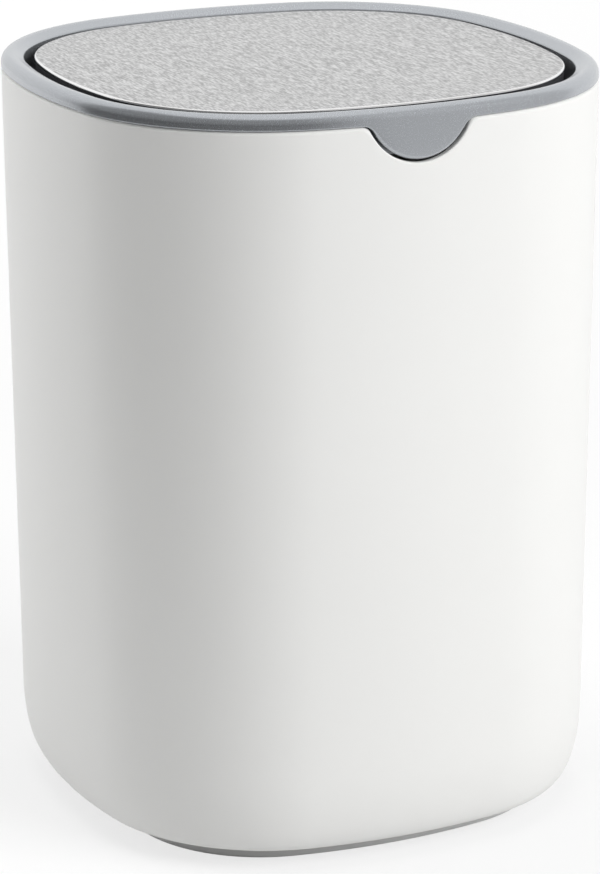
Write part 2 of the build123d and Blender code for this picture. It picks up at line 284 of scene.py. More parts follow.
def outline(sizes, stations):
    """Places and outward directions on the plan, at distances along it from the middle of the front.

    A station's arc is found from the arcs' summed lengths. Its place is the arc's centre plus the radius
    in the direction reached on that arc, and its outward direction is that direction.
    """
    side_centre, corner_centre, half_side = plan_arcs(sizes)
    turn = np.repeat(np.radians([-90.0, 0.0, 90.0, 180.0]), 2)
    is_side = np.tile([True, False], 4)
    cosine, sine = np.cos(turn), np.sin(turn)
    centre_x = np.where(is_side, side_centre * cosine, corner_centre * (cosine - sine))
    centre_y = np.where(is_side, side_centre * sine, corner_centre * (cosine + sine))
    radius = np.where(is_side, sizes.side_radius, sizes.corner_radius)
    start = turn + np.where(is_side, -half_side, half_side)
    length = radius * np.where(is_side, 2 * half_side, math.pi / 2 - 2 * half_side)
    ends = np.concatenate([[0.0], np.cumsum(length)])
    along = np.mod(stations + sizes.side_radius * half_side, ends[-1])
    arc = np.clip(np.searchsorted(ends, along, side="right") - 1, 0, len(length) - 1)
    angle = start[arc] + (along - ends[arc]) / radius[arc]
    out_x, out_y = np.cos(angle), np.sin(angle)
    return centre_x[arc] + radius[arc] * out_x, centre_y[arc] + radius[arc] * out_y, out_x, out_y


def placed(sizes, stations, inset, height):
    """A grid of points, each at its station on the plan, drawn inward by its inset, at its height."""
    x, y, out_x, out_y = outline(sizes, stations)
    return np.stack(np.broadcast_arrays(x - inset * out_x, y - inset * out_y, height), axis=-1)


def tab_line(sizes, radius, shoulder):
    """The edge of the tab or notch, laid flat: stations, heights from the seam, and directions.

    A circle of the radius is centred above the seam. A shoulder circle is tangent to it and to the seam,
    so its centre is sqrt((radius + shoulder)^2 - (rise + shoulder)^2) from the middle. Stations are
    spaced evenly by angle on both circles, then evenly, about 1.3 mm apart, around the rest of the plan.
    Directions point away from the tab, square to the edge.
    """
    round_steps, shoulder_steps, plan_steps = 56, 16, 190
    rise = TAB_CENTRE_RISE
    reach = math.sqrt((radius + shoulder) ** 2 - (rise + shoulder) ** 2)
    meet = math.asin(reach / (radius + shoulder))
    angle = np.linspace(0, meet, round_steps)
    shoulder_angle = np.linspace(meet, 0, shoulder_steps)[1:]
    rest = np.linspace(reach, plan_length(sizes) / 2, plan_steps)[1:]
    station = np.concatenate([radius * np.sin(angle), reach - shoulder * np.sin(shoulder_angle), rest])
    round_height = rise - radius * np.cos(angle)
    shoulder_height = shoulder * (np.cos(shoulder_angle) - 1)
    height = np.concatenate([round_height, shoulder_height, 0 * rest])
    away_along = np.concatenate([np.sin(angle), np.sin(shoulder_angle), 0 * rest])
    away_up = -np.concatenate([np.cos(angle), np.cos(shoulder_angle), 1 + 0 * rest])
    left = slice(-2, 0, -1)
    return (
        np.concatenate([-station[left], station]),
        np.concatenate([height[left], height]),
        np.concatenate([-away_along[left], away_along]),
        np.concatenate([away_up[left], away_up]),
    )


def drop_share(line):
    """How far the edge roundings have changed at each station: 0 at the seam, 1 from 4 mm below it.

    Between them the share s follows the smooth curve 3 s^2 - 2 s^3.
    """
    share = np.clip(-line[1] / (4 * MM), 0, 1)
    return share * share * (3 - 2 * share)


def rounded(corners):
    """A closed run of corners (inset, height, radius) with each corner turned into an arc.

    The arc's centre lies on the corner's bisector, radius / sin(half the corner's angle) away, and two
    more points stand close beside each arc, so that the straight runs stay flat when shaded smooth.
    """
    arc_steps = 8
    beside_arc = 0.12 * MM
    corners = np.array(corners)
    places, radii = corners[:, :2], corners[:, 2]
    runs = []
    for index, here in enumerate(places):
        back = places[index - 1] - here
        ahead = places[(index + 1) % len(places)] - here
        back /= np.hypot(*back)
        ahead /= np.hypot(*ahead)
        half = math.acos(np.clip(back @ ahead, -1, 1)) / 2
        bisector = (back + ahead) / np.hypot(*(back + ahead))
        centre = here + bisector * radii[index] / math.sin(half)
        beside = radii[index] / math.tan(half) + beside_arc
        turn = np.linspace(-1, 1, arc_steps)[:, None] * (math.pi / 2 - half)
        across = (ahead - back) / np.hypot(*(ahead - back))
        arc = centre + radii[index] * (np.sin(turn) * across - np.cos(turn) * bisector)
        runs.append(np.vstack([here + back * beside, arc, here + ahead * beside]))
    return np.vstack(runs)


def carried(sizes, line, inset, height, far, shape_run, sign):
    """A profile carried around the plan, with its rows bent along the tab line near the seam.

    Height is the distance from the seam, up for the frame (sign 1) and down for the shell (sign -1).
    Up to shape_run a row is offset square to the tab line; from there to far it runs straight back to
    its own station and height, and beyond far it stays level.
    """
    station, edge_height, away_along, away_up = line
    near = np.minimum(height, shape_run)
    square_station = station - sign * near * away_along
    square_rise = edge_height - sign * near * away_up
    share = np.clip((height - shape_run) / (far - shape_run), 0, 1)
    along = square_station + (station - square_station) * share
    rise = square_rise + (sign * far - square_rise) * share + sign * np.maximum(height - far, 0)
    return placed(sizes, along, inset, sizes.seam_height + rise)


def with_ends(grid, shares):
    """The grid with its level first and last row drawn in to shares of their reach, and a pole for each."""
    drawn = np.stack([shares, shares, 1 + 0 * shares], axis=-1)[:, None]
    grid = np.concatenate([grid[0] * drawn, grid, grid[-1] * drawn[::-1]])
    return grid, np.array([(0, 0, grid[0, 0, 2]), (0, 0, grid[-1, 0, 2])])


def new_piece(name, points, faces, smooth=False):
    """An object at the origin, in the scene, with a mesh of these points and faces."""
    mesh = bpy.data.meshes.new(name)
    mesh.from_pydata(points.tolist(), [], faces)
    if smooth:
        mesh.polygons.foreach_set("use_smooth", np.ones(len(mesh.polygons), dtype=bool))
    mesh.update()
    piece = bpy.data.objects.new(name, mesh)
    bpy.context.scene.collection.objects.link(piece)
    return piece


def skin(name, grid, rows_closed=False, poles=()):
    """A piece from a grid of rows around the bin, whose columns close.

    Its first and last row are closed by poles, or joined to each other where rows_closed is set.
    """
    rows, columns = grid.shape[:2]
    row = np.arange(rows if rows_closed else rows - 1)[:, None] * columns
    next_row = (row + columns) % (rows * columns)
    column = np.arange(columns)
    next_column = (column + 1) % columns
    quads = np.stack(
        [row + column, row + next_column, next_row + next_column, next_row + column],
        axis=-1,
    )
    points = grid.reshape(-1, 3)
    faces = quads.reshape(-1, 4).tolist()
    if len(poles):
        pole = len(points)
        last = pole - columns
        points = np.vstack([points, poles])
        start_fan = np.stack([0 * column + pole, next_column, column], axis=-1)
        end_fan = np.stack([last + column, last + next_column, 0 * column + pole + 1], axis=-1)
        faces += start_fan.tolist() + end_fan.tolist()
    return new_piece(name, points, faces, smooth=True)


def block_set(name, grid, strip=False):
    """One piece of several blocks, each a run of closed loops with its two ends filled.

    The ends are one face each, or for a section that doubles back on itself a strip of quads between
    its outer and inner run.
    """
    blocks, loops, around = grid.shape[:3]
    faces = []
    ring = np.arange(around)
    after = (ring + 1) % around
    for block in range(blocks):
        first = block * loops * around
        last = first + (loops - 1) * around
        for near in range(first, last, around):
            far = near + around
            faces += np.stack([near + ring, near + after, far + after, far + ring], axis=-1).tolist()
        if strip:
            side = np.arange(around // 2 - 1)
            other = around - 1 - side
            start_end = np.stack([side, other, other - 1, side + 1], axis=-1)
            last_end = np.stack([side, side + 1, other - 1, other], axis=-1)
            faces += (first + start_end).tolist() + (last + last_end).tolist()
        else:
            faces += [(first + ring[::-1]).tolist(), (last + ring).tolist()]
    return new_piece(name, grid.reshape(-1, 3), faces)


def make_shell(sizes):
    """The white shell: one closed skin from under the floor, up the wall, over the rim and down inside.

    The wall draws in by tan(draft) of the distance below the seam. Below the bottom curve's top it
    follows a quarter ellipse to the underside outside, and a smaller one to the floor inside. The rim's
    outer rounding eases to that of the notch by the drop share of the edge.
    """
    line = tab_line(sizes, sizes.tab_radius + sizes.tab_gap, TAB_SHOULDER - sizes.tab_gap)
    wall = 2.2 * MM
    draft = math.tan(math.radians(0.6))
    curve_top = 27.6 * MM
    outer_width, outer_height = 6.7 * MM, 22.3 * MM
    inner_width, inner_height = 4.5 * MM, 19.9 * MM
    notch_round = 0.5 * MM
    inner_round = 0.4 * MM
    rim_flat = 0.3 * MM

    # Depths below the seam where the straight rows end, and from which they no longer follow the notch
    rim_end = 1.5 * MM
    level_from = 30 * MM

    def all_round(rows):
        return np.tile(rows[:, None], len(line[0]))

    # Outer curve from the underside to the wall, the wall, and the inner curve down to the floor
    curve_depth = sizes.seam_height - curve_top
    curve_inset = draft * curve_depth + outer_width
    quarter = np.linspace(math.pi / 2, 0, 22)
    under = curve_inset - outer_width * np.cos(quarter)
    under_depth = curve_depth + outer_height * np.sin(quarter)
    lower_wall = np.linspace(curve_depth, level_from, 14)[1:]
    upper_wall = np.linspace(level_from, rim_end, 12)[1:]
    straight = np.concatenate([lower_wall, upper_wall])
    inside = straight[::-1]
    floor = curve_inset - inner_width * np.cos(quarter[::-1])
    floor_depth = curve_depth + inner_height * np.sin(quarter[::-1])
    outer = all_round(np.concatenate([under, draft * straight]))
    outer_depth = all_round(np.concatenate([under_depth, straight]))
    inner = all_round(np.concatenate([draft * inside + wall, floor]))
    inner_depth = all_round(np.concatenate([inside, floor_depth]))

    # Rim: outer rounding, flat top, inner rounding
    rim = sizes.rim_round + (notch_round - sizes.rim_round) * drop_share(line)
    turn = np.linspace(0, math.pi / 2, 9)
    bend, sweep = 1 - np.cos(turn), 1 - np.sin(turn)
    lip_inset = all_round(wall - inner_round * sweep)
    lip_depth = all_round(inner_round * bend)
    rim_inset = np.vstack([rim * bend[:, None], rim + rim_flat, lip_inset])
    rim_depth = np.vstack([rim * sweep[:, None], 0 * rim, lip_depth])

    inset = np.vstack([outer, draft * rim_depth + rim_inset, inner])
    depth = np.vstack([outer_depth, rim_depth, inner_depth])
    grid = carried(sizes, line, inset, depth, level_from, sizes.rim_round, -1)
    grid, poles = with_ends(grid, np.array([0.2, 0.45, 0.7, 0.9, 0.97]))
    return skin("shell_skin", grid, poles=poles)


def make_frame_ring(sizes):
    """The lid frame's ring with its skirt and lift tab: one closed section carried once around.

    The top falls inward in a straight line from the crown, whose arc touches that line and the outer
    wall, so the corner that it rounds stands radius * (tan(fall) + 1 / cos(fall)) above the arc's
    centre. The outer lower edge is rounded more on the tab than at the seam, by the drop share.
    """
    radius = sizes.crown_round
    fall = sizes.crown_fall
    crown_top = 4.1 * MM
    corner = crown_top - radius + radius * math.tan(fall) + radius / math.cos(fall)
    ring_inner = 6.6 * MM
    skirt_outer = 4.8 * MM
    seat_inset = 2.0 * MM
    seat_height = 1.7 * MM
    skirt_foot = SKIRT_FOOT - sizes.seam_height
    seam_round = 0.3 * MM

    # Height above the seam up to which rows follow the tab, and the inset from which none does
    bent_to = 1.29 * MM
    level_from_inset = 4.0 * MM
    line = tab_line(sizes, sizes.tab_radius, TAB_SHOULDER)

    def section(edge_round):
        run = rounded(
            [
                (0, 0, edge_round),
                (0, corner, radius),
                (ring_inner, corner - ring_inner * math.tan(fall), 0.7 * MM),
                (ring_inner, skirt_foot, 0.3 * MM),
                (skirt_outer, skirt_foot, 0.3 * MM),
                (skirt_outer, seat_height, 0.2 * MM),
                (seat_inset, seat_height, 0.2 * MM),
                (seat_inset, 0, 0.25 * MM),
            ]
        )
        return run[:, :, None]

    plain = section(seam_round)
    tab = section(sizes.tab_round)
    inset, height = np.moveaxis(plain + (tab - plain) * drop_share(line), 1, 0)
    bent = carried(sizes, line, inset, np.maximum(height, 0), bent_to, sizes.tab_round, 1)
    level = placed(sizes, line[0], inset, sizes.seam_height + height)
    in_skirt = inset > level_from_inset
    return skin("frame_ring_skin", np.where(in_skirt[..., None], level, bent), rows_closed=True)


def make_steel_plate(sizes):
    """The steel plate: a thin sheet whose edge rolls down around an arc, tipped about the pivot.

    The section runs from the middle of the underside out to the edge, round it and back over the top;
    the attribute edge is 1 where the surface turns down and 0 on the flat.
    """
    top = 215.55 * MM
    inset = 9.5 * MM
    sheet = 0.6 * MM
    low = top - 0.7 * MM
    flat_run = 0.5 * MM
    bend = sizes.plate_round
    inner = bend - sheet
    middle = inset + bend
    turn = np.linspace(0, math.pi / 2, 12)

    # Rows along the underside, its bend, the cut edge, the outer bend and the top
    rows_inset = np.concatenate(
        [
            [middle + flat_run],
            middle - inner * np.sin(turn),
            [inset + sheet * 0.8, inset + sheet * 0.2],
            middle - bend * np.cos(turn),
            [middle + flat_run],
        ]
    )
    rows_height = np.concatenate(
        [
            [top - sheet],
            top - bend + inner * np.cos(turn),
            [low, low],
            top - bend + bend * np.sin(turn),
            [top],
        ]
    )

    stations = np.linspace(0, plan_length(sizes), 361)[:-1]
    grid = placed(sizes, stations, rows_inset[:, None], rows_height[:, None])
    shares = np.array([0.15, 0.4, 0.7, 0.92])
    grid, poles = with_ends(grid, shares)
    edge = np.zeros(grid.shape[:2])
    edge[len(shares) + 1 : len(shares) + len(rows_inset) - 3] = 1
    pivot = (0, 0, PIVOT_HEIGHT)
    tip = np.array(Matrix.Rotation(-sizes.plate_tip, 3, "X"))
    grid = (grid - pivot) @ tip.T + pivot
    poles = (poles - pivot) @ tip.T + pivot
    plate = skin("plate_skin", grid, poles=poles)
    mask = plate.data.attributes.new("edge", "FLOAT", "POINT")
    mask.data.foreach_set("value", np.append(edge, [0, 0]).astype(np.float32))
    return plate


def make_frame_ribs(sizes):
    """Twelve ribs behind the frame's skirt, every 22.5 degrees but at the middles of the sides.

    A rib's profile lies in the upright plane through the middle of the bin; it is pushed out to both
    sides, and the two outer loops are drawn in to nine tenths as a small edge rounding.
    """
    angles = np.radians([22.5 * k for k in range(16) if k % 4])
    stations = np.linspace(0, plan_length(sizes), 4001)
    x, y = outline(sizes, stations)[:2]
    bearing = np.unwrap(np.arctan2(y, x))
    at = np.interp(np.mod(angles - bearing[0], 2 * math.pi) + bearing[0], bearing, stations)
    low, high = 205.22 * MM, 214.5 * MM
    inner, outer = 5.4 * MM, 2.5 * MM
    lead_in = 1.4 * MM
    edge = 0.2 * MM
    profile = rounded([(outer, low, lead_in), (outer, high, edge), (inner, high, edge), (inner, low, edge)])
    middle = profile.mean(axis=0)
    small = middle + (profile - middle) * 0.9
    loops = np.stack([small, profile, profile, small])
    offsets = np.array([-0.8, -0.65, 0.65, 0.8]) * MM
    inset, height = np.moveaxis(loops, 2, 0)
    grid = placed(sizes, at[:, None, None], inset, height)
    sideways = np.stack([-np.sin(angles), np.cos(angles), 0 * angles], axis=-1)
    grid = grid + sideways[:, None, None] * offsets[:, None, None]
    return block_set("frame_ribs_skin", grid)


def make_pivot_bosses(sizes):
    """The two bosses behind the skirt that carry the pivot: upright blocks with a slot open below.

    The section follows the block's outline and, the other way, the slot: up one side, round the pivot
    in a half circle, and down. It is pushed from inside the skirt to the boss's outer face, and both
    faces are bowed by y^2 / (2 radius), as the skirt is.
    """
    low, high = SKIRT_FOOT, 214.4 * MM
    slot = 3.18 * MM
    half = 8.0 * MM
    faces_at = np.array([74.4, 77.2]) * MM
    face_radius = sizes.side_radius - 2.8 * MM
    turn = np.linspace(0, math.pi, 17)
    cosine, sine = np.cos(turn), np.sin(turn)
    inner_y = np.concatenate([[slot], slot * cosine, [-slot]])
    inner_z = np.concatenate([[low], PIVOT_HEIGHT + slot * sine, [low]])

    # From the pivot to the block's side or its top, whichever comes first
    to_side = half / np.maximum(np.abs(cosine), 1e-6)
    to_top = (high - PIVOT_HEIGHT) / np.maximum(sine, 1e-6)
    reach = np.minimum(to_side, to_top)

    outer_y = np.concatenate([[half], reach * cosine, [-half]])
    outer_z = np.concatenate([[low], PIVOT_HEIGHT + reach * sine, [low]])
    y = np.concatenate([outer_y, inner_y[::-1]])
    z = np.concatenate([outer_z, inner_z[::-1]])
    x = faces_at[:, None] - y**2 / (2 * face_radius)
    right = np.stack(np.broadcast_arrays(x, y, z), axis=-1)
    grid = np.stack([right, right * (-1, -1, 1)])
    return block_set("pivot_bosses_skin", grid, strip=True)


def volume_sign(mesh):
    """Positive where a closed mesh's faces point outwards: six times its volume by the divergence rule."""
    mesh.calc_loop_triangles()
    triangles = np.empty(3 * len(mesh.loop_triangles), dtype=np.int32)
    mesh.loop_triangles.foreach_get("vertices", triangles)
    points = np.empty(3 * len(mesh.vertices))
    mesh.vertices.foreach_get("co", points)
    a, b, c = np.moveaxis(points.reshape(-1, 3)[triangles.reshape(-1, 3)], 1, 0)
    return float(np.einsum("ij,ij->", a, np.cross(b, c)))


def dress(piece, body, replaced=None):
    """Ride a new piece on its body and the node that it stands for."""
    if volume_sign(piece.data) < 0:
        piece.data.flip_normals()
    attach(piece, body)
    if replaced:
        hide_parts(replaced)


class TRASHBIN_OT_shell(bpy.types.Operator):
    """Make the white shell"""

    bl_idname = "trashbin.shell"
    bl_label = "Make the shell"

    def execute(self, context):
        dress(make_shell(context.scene.trash_bin_sizes), "bin", "bin_shell")
        return {"FINISHED"}


class TRASHBIN_OT_lid_frame(bpy.types.Operator):
    """Make the lid frame: ring, skirt and tab, with the ribs and bosses behind the skirt"""

    bl_idname = "trashbin.lid_frame"
    bl_label = "Make the lid frame"

    def execute(self, context):
        sizes = context.scene.trash_bin_sizes
        dress(make_frame_ring(sizes), "frame", "lid_frame")
        dress(make_frame_ribs(sizes), "frame")
        dress(make_pivot_bosses(sizes), "frame")
        return {"FINISHED"}


class TRASHBIN_OT_plate(bpy.types.Operator):
    """Make the brushed steel plate with its rolled edge"""

    bl_idname = "trashbin.plate"
    bl_label = "Make the steel plate"

    def execute(self, context):
        dress(make_steel_plate(context.scene.trash_bin_sizes), "flap", "steel_plate")
        return {"FINISHED"}


# Finishes

def new_material(name):
    """A material with its Principled shader and output; returns it with its nodes, links and shader."""
    material = bpy.data.materials.new(name)
    material.use_nodes = True
    made = material.node_tree.nodes
    return material, made, material.node_tree.links, made["Principled BSDF"]


def grain_group():
    """Fine moulded texture: even cells with a soft larger unevenness. Puts out Height and Patch."""
    name = "Moulded grain"
    if name in bpy.data.node_groups:
        return bpy.data.node_groups[name]
    group = bpy.data.node_groups.new(name, "ShaderNodeTree")
    face = group.interface
    face.new_socket("Grain Scale", in_out="INPUT", socket_type="NodeSocketFloat").default_value = 2200.0
    face.new_socket("Patch Scale", in_out="INPUT", socket_type="NodeSocketFloat").default_value = 30.0
    face.new_socket("Height", in_out="OUTPUT", socket_type="NodeSocketFloat")
    face.new_socket("Patch", in_out="OUTPUT", socket_type="NodeSocketFloat")
    start = group.nodes.new("NodeGroupInput")
    end = group.nodes.new("NodeGroupOutput")
    place = group.nodes.new("ShaderNodeTexCoord")
    fine = group.nodes.new("ShaderNodeTexNoise")
    fine.inputs["Detail"].default_value = 2.0
    fine.inputs["Roughness"].default_value = 0.6
    patch = group.nodes.new("ShaderNodeTexNoise")
    patch.inputs["Detail"].default_value = 3.0
    for texture, scale, result in ((fine, "Grain Scale", "Height"), (patch, "Patch Scale", "Patch")):
        group.links.new(place.outputs["Object"], texture.inputs["Vector"])
        group.links.new(start.outputs[scale], texture.inputs["Scale"])
        group.links.new(texture.outputs["Fac"], end.inputs[result])
    return group


def moulded_plastic(name, colour, roughness, grain_scale, grain_depth, tint=0.03, metal=0.0):
    """Moulded plastic: its colour varies a little in patches, and a fine grain breaks its gloss.

    The grain scale counts cells per metre. A share of metal gives the silver look of a satin paint.
    """
    material, made, links, shader = new_material(name)
    shader.inputs["Metallic"].default_value = metal
    grain = made.new("ShaderNodeGroup")
    grain.node_tree = grain_group()
    grain.inputs["Grain Scale"].default_value = grain_scale
    shades = made.new("ShaderNodeMix")
    shades.data_type = "RGBA"
    shades.inputs["A"].default_value = (*[c * (1 - tint) for c in colour], 1)
    shades.inputs["B"].default_value = (*[min(1.0, c * (1 + tint)) for c in colour], 1)
    links.new(grain.outputs["Patch"], shades.inputs["Factor"])
    links.new(shades.outputs["Result"], shader.inputs["Base Color"])
    gloss = made.new("ShaderNodeMapRange")
    gloss.inputs["To Min"].default_value = roughness - 0.05
    gloss.inputs["To Max"].default_value = roughness + 0.05
    links.new(grain.outputs["Height"], gloss.inputs["Value"])
    links.new(gloss.outputs["Result"], shader.inputs["Roughness"])
    bump = made.new("ShaderNodeBump")
    bump.inputs["Distance"].default_value = grain_depth
    bump.inputs["Strength"].default_value = 0.5
    links.new(grain.outputs["Height"], bump.inputs["Height"])
    links.new(bump.outputs["Normal"], shader.inputs["Normal"])
    return material


def plain_steel(name, colour, roughness):
    """Plated or raw steel with a faint unevenness."""
    return moulded_plastic(
        name, colour, roughness, grain_scale=900.0, grain_depth=0.01 * MM, tint=0.08, metal=1.0
    )


def streak_layers(made, links):
    """Three layers of noise stretched from front to back, added up by their shares of the whole."""
    place = made.new("ShaderNodeTexCoord")
    middling = (1700.0, 260.0, 1700.0)
    coarse = (800.0, 150.0, 800.0)
    fine = (2900.0, 520.0, 2900.0)
    total = None
    for cells_per_metre, share in ((middling, 0.45), (coarse, 0.15), (fine, 0.4)):
        stretch = made.new("ShaderNodeMapping")
        stretch.inputs["Scale"].default_value = cells_per_metre
        streaks = made.new("ShaderNodeTexNoise")
        streaks.inputs["Scale"].default_value = 1.0
        streaks.inputs["Detail"].default_value = 1.5
        links.new(place.outputs["Object"], stretch.inputs["Vector"])
        links.new(stretch.outputs["Vector"], streaks.inputs["Vector"])
        weighed = made.new("ShaderNodeMath")
        weighed.operation = "MULTIPLY_ADD"
        weighed.inputs[1].default_value = share
        weighed.inputs[2].default_value = 0.0
        links.new(streaks.outputs["Fac"], weighed.inputs[0])
        if total:
            links.new(total, weighed.inputs[2])
        total = weighed.outputs["Value"]
    return total


def brushed_steel(name, colour):
    """Steel brushed from front to back in short fine streaks; the rolled edge is polished and plain, and
    lighter in colour as a painted highlight.
    """
    material, made, links, shader = new_material(name)
    shader.inputs["Metallic"].default_value = 1.0
    total = streak_layers(made, links)
    edge = made.new("ShaderNodeAttribute")
    edge.attribute_name = "edge"

    # Streaks vary the colour from 0.6 to 1.3 of itself, and the edge has 1.6 of it, a painted highlight
    # along the rolled edge
    tone = made.new("ShaderNodeMapRange")
    tone.inputs["From Min"].default_value = 0.4
    tone.inputs["From Max"].default_value = 0.6
    tone.inputs["To Min"].default_value = 0.6
    tone.inputs["To Max"].default_value = 1.3
    links.new(total, tone.inputs["Value"])
    plain = made.new("ShaderNodeMix")
    plain.inputs["B"].default_value = 1.6
    links.new(edge.outputs["Fac"], plain.inputs["Factor"])
    links.new(tone.outputs["Result"], plain.inputs["A"])
    shades = made.new("ShaderNodeVectorMath")
    shades.operation = "SCALE"
    shades.inputs[0].default_value = colour
    links.new(plain.outputs["Result"], shades.inputs["Scale"])
    links.new(shades.outputs["Vector"], shader.inputs["Base Color"])

    # The edge is smoother than the flat and has no streaks in its bump
    gloss = made.new("ShaderNodeMix")
    gloss.inputs["A"].default_value = 0.36
    gloss.inputs["B"].default_value = 0.14
    links.new(edge.outputs["Fac"], gloss.inputs["Factor"])
    links.new(gloss.outputs["Result"], shader.inputs["Roughness"])
    height = made.new("ShaderNodeMix")
    height.inputs["B"].default_value = 0.5
    links.new(edge.outputs["Fac"], height.inputs["Factor"])
    links.new(total, height.inputs["A"])
    bump = made.new("ShaderNodeBump")
    bump.inputs["Distance"].default_value = 0.04 * MM
    links.new(height.outputs["Result"], bump.inputs["Height"])
    links.new(bump.outputs["Normal"], shader.inputs["Normal"])
    return material


class TRASHBIN_OT_finishes(bpy.types.Operator):
    """Put the finishes on the pieces"""

    bl_idname = "trashbin.finishes"
    bl_label = "Finish the pieces"

    def execute(self, context):
        looks = context.scene.trash_bin_finish
        shell = moulded_plastic(
            "shell_white", looks.shell_colour, 0.45, 2600.0, grain_depth=0.02 * MM, tint=0.01
        )
        grey = moulded_plastic(
            "frame_grey", looks.frame_colour, 0.26, 5200.0, grain_depth=0.002 * MM, tint=0.02, metal=0.7
        )
        foot = moulded_plastic("foot_grey", looks.foot_colour, 0.7, 1800.0, grain_depth=0.04 * MM)
        tray = moulded_plastic("tray_dark", looks.tray_colour, 0.5, 1500.0, grain_depth=0.04 * MM)
        bush = moulded_plastic("bush_plastic", (0.8, 0.79, 0.75), 0.4, 1500.0, grain_depth=0.02 * MM)
        bond = moulded_plastic("adhesive", (0.7, 0.68, 0.6), 0.6, 700.0, grain_depth=0.04 * MM)
        plate = brushed_steel("brushed_plate", looks.steel_colour)
        fixings = plain_steel("steel_fixings", (0.6, 0.61, 0.63), 0.3)
        weights = plain_steel("weight_steel", (0.32, 0.32, 0.33), 0.5)
        finish_of = {
            "bin_shell": shell,
            "foot_ring": foot,
            "lid_frame": grey,
            "left_bush_keeper": grey,
            "right_bush_keeper": grey,
            "left_bush": bush,
            "right_bush": bush,
            "steel_plate": plate,
            "plate_bond": bond,
            "flap_tray": tray,
            "left_pin_clamp": tray,
            "right_pin_clamp": tray,
            "left_weight_cover": tray,
            "right_weight_cover": tray,
            "left_pivot_pin": fixings,
            "right_pivot_pin": fixings,
            "keeper_screws": fixings,
            "pin_clamp_screws": fixings,
            "left_counterweight": weights,
            "right_counterweight": weights,
        }
        for name, material in finish_of.items():
            nodes[name].material_slots[0].material = material
        made_here = {
            "shell_skin": shell,
            "frame_ring_skin": grey,
            "frame_ribs_skin": grey,
            "pivot_bosses_skin": grey,
            "plate_skin": plate,
        }
        for name, material in made_here.items():
            bpy.data.objects[name].data.materials.append(material)
        return {"FINISHED"}


# Stage

def soft_lamp(name, place, size, power):
    """A square area lamp that stands at a place and faces the bin. Reflections don't show it."""
    middle_of_bin = Vector((0, 0, 0.11))
    lamp = bpy.data.lights.new(name, "AREA")
    lamp.size = size
    lamp.energy = power
    stand = bpy.data.objects.new(name, lamp)
    stand.location = place
    stand.rotation_euler = (Vector(place) - middle_of_bin).to_track_quat("Z", "Y").to_euler()
    stand.visible_camera = False
    stand.visible_glossy = False
    bpy.context.scene.collection.objects.link(stand)


def painted_reflection_card(name, first, last, foot, head, brightness):
    """A curved glowing card that only reflections see, between two bearings in degrees from +X. It is a
    painted reflection: it lights nothing and casts no shadow.

    Its foot and its head are each a distance from the middle and a height.
    """
    bearing = np.radians(np.linspace(first, last, 20))
    around = np.stack([np.cos(bearing), np.sin(bearing), 0 * bearing], axis=-1)
    foot_line = around * foot[0] + (0, 0, foot[1])
    head_line = around * head[0] + (0, 0, head[1])
    count = len(bearing)
    near = np.arange(count - 1)
    quads = np.stack([near, near + 1, near + 1 + count, near + count], axis=-1)
    card = new_piece(name, np.vstack([foot_line, head_line]), quads.tolist())
    card.visible_camera = False
    card.visible_diffuse = False
    card.visible_shadow = False
    material, made, links, shader = new_material(name)
    made.remove(shader)
    glow = made.new("ShaderNodeEmission")
    glow.inputs["Strength"].default_value = brightness
    links.new(glow.outputs["Emission"], made["Material Output"].inputs["Surface"])
    card.data.materials.append(material)


def for_the_eye(made, links, lit, seen):
    """A shader that lights the pieces one way and is seen another way.

    The second way holds where the eye, a reflection or a view through glass meets the surface.
    """
    path = made.new("ShaderNodeLightPath")
    total = path.outputs["Is Camera Ray"]
    for ray in ("Is Glossy Ray", "Is Transmission Ray"):
        either = made.new("ShaderNodeMath")
        either.operation = "MAXIMUM"
        links.new(total, either.inputs[0])
        links.new(path.outputs[ray], either.inputs[1])
        total = either.outputs["Value"]
    choice = made.new("ShaderNodeMixShader")
    links.new(total, choice.inputs["Fac"])
    links.new(lit, choice.inputs[1])
    links.new(seen, choice.inputs[2])
    return choice.outputs["Shader"]


def set_background(scene, room_light):
    """An even weak light from all around, seen as white."""
    world = bpy.data.worlds.new("studio")
    world.use_nodes = True
    scene.world = world
    made = world.node_tree.nodes
    links = world.node_tree.links
    room = made["Background"]
    room.inputs["Color"].default_value = (1, 1, 1, 1)
    room.inputs["Strength"].default_value = room_light
    white = made.new("ShaderNodeBackground")
    white.inputs["Color"].default_value = (1, 1, 1, 1)
    white.inputs["Strength"].default_value = 1.0
    both = for_the_eye(made, links, room.outputs["Background"], white.outputs["Background"])
    links.new(both, made["World Output"].inputs["Surface"])


